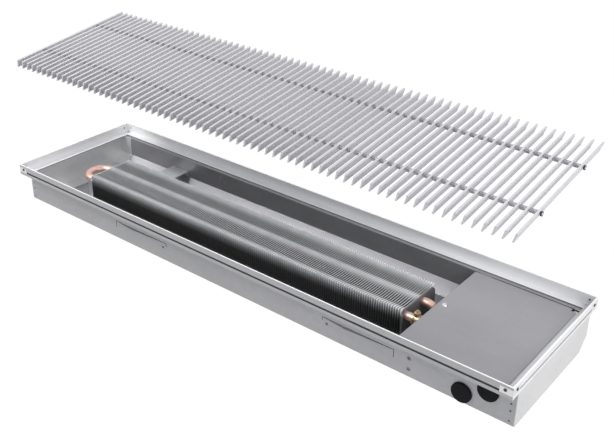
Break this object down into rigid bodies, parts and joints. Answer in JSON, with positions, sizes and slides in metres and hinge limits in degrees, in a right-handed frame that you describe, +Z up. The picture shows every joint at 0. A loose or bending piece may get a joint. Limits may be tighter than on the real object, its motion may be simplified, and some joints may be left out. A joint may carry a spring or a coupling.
{
  "type": "trench convector heater",
  "caption": "Floor trench convector: a long folded trough with a bright rim, a finned copper coil, a covered connection chamber and a lift-off grille of slanting blades.",
  "frame": {"origin": "middle of the trough's underside, on its outer face", "axes": "+X along the trough towards the connection chamber, +Y towards the wall with the slanting fold, +Z up"},
  "size_m": [1.0263, 0.288, 0.2975],
  "materials": {
    "galvanised": "satin",
    "anodised": "satin",
    "black_steel": "satin",
    "fins": "satin",
    "copper": "satin",
    "zinc": "satin",
    "brass": "satin",
    "rubber": "matt",
    "blade": "satin",
    "sleeve": "matt"
  },
  "bodies": {
    "heater": {"trough": "galvanised", "end_plate_left": "galvanised", "end_plate_right": "galvanised", "rim_front": "anodised", "rim_rear": "anodised", "rim_left": "anodised", "rim_right": "anodised", "corner_plates": "anodised", "corner_screws": "black_steel", "fin_pack": "fins", "tube_front": "copper", "tube_rear": "copper", "return_bend": "copper", "coil_bracket_left": "galvanised", "coil_bracket_right": "galvanised", "coil_stay": "galvanised", "foot_screws": "zinc", "partition": "galvanised", "partition_rivets": "zinc", "cover_rest": "galvanised", "cover_plate": "galvanised", "cover_screw": "zinc", "vent_tee": "brass", "vent_body": "brass", "flow_pipe": "copper", "return_pipe": "copper", "flow_connector": "brass", "return_connector": "brass", "flow_tail": "brass", "return_tail": "brass", "connector_bracket": "galvanised"},
    "grille_front_rod": {"grille_rod_front": "zinc", "grille_sleeves_front": "sleeve", "grille_nuts_front": "black_steel"},
    "grille": {"grille_blades": "blade", "grille_rod_rear": "zinc", "grille_sleeves_rear": "sleeve", "grille_nuts_rear": "black_steel"},
    "vent_screw": {"vent_screw": "zinc"},
    "upper_plug": {"plug_upper": "rubber"},
    "lower_plug": {"plug_lower": "rubber"}
  },
  "joints": [
    {"name": "grille_lift", "type": "slide", "parent": "heater", "child": "grille_front_rod", "axis": [-0.1526, 0.1625, 0.9748], "range_m": [-0.20311, 0]},
    {"name": "grille_tilt", "type": "hinge", "parent": "grille_front_rod", "child": "grille", "pos_m": [-0.031, -0.0295, 0.26335], "axis": [1, 0, 0], "range_deg": [-8.2, 0]},
    {"name": "vent_turn", "type": "hinge", "parent": "heater", "child": "vent_screw", "pos_m": [0.3045, -0.038, 0.0537], "axis": [0, 0, 1], "range_deg": [0, 180]},
    {"name": "upper_plug_pull", "type": "slide", "parent": "heater", "child": "upper_plug", "axis": [0, -1, 0], "range_m": [0, 0.04]},
    {"name": "lower_plug_pull", "type": "slide", "parent": "heater", "child": "lower_plug", "axis": [0, -1, 0], "range_m": [0, 0.04]}
  ],
  "couplings": [
    {"joint": "grille_tilt", "follows": "grille_lift", "rad_per_m": 0.70448}
  ]
}
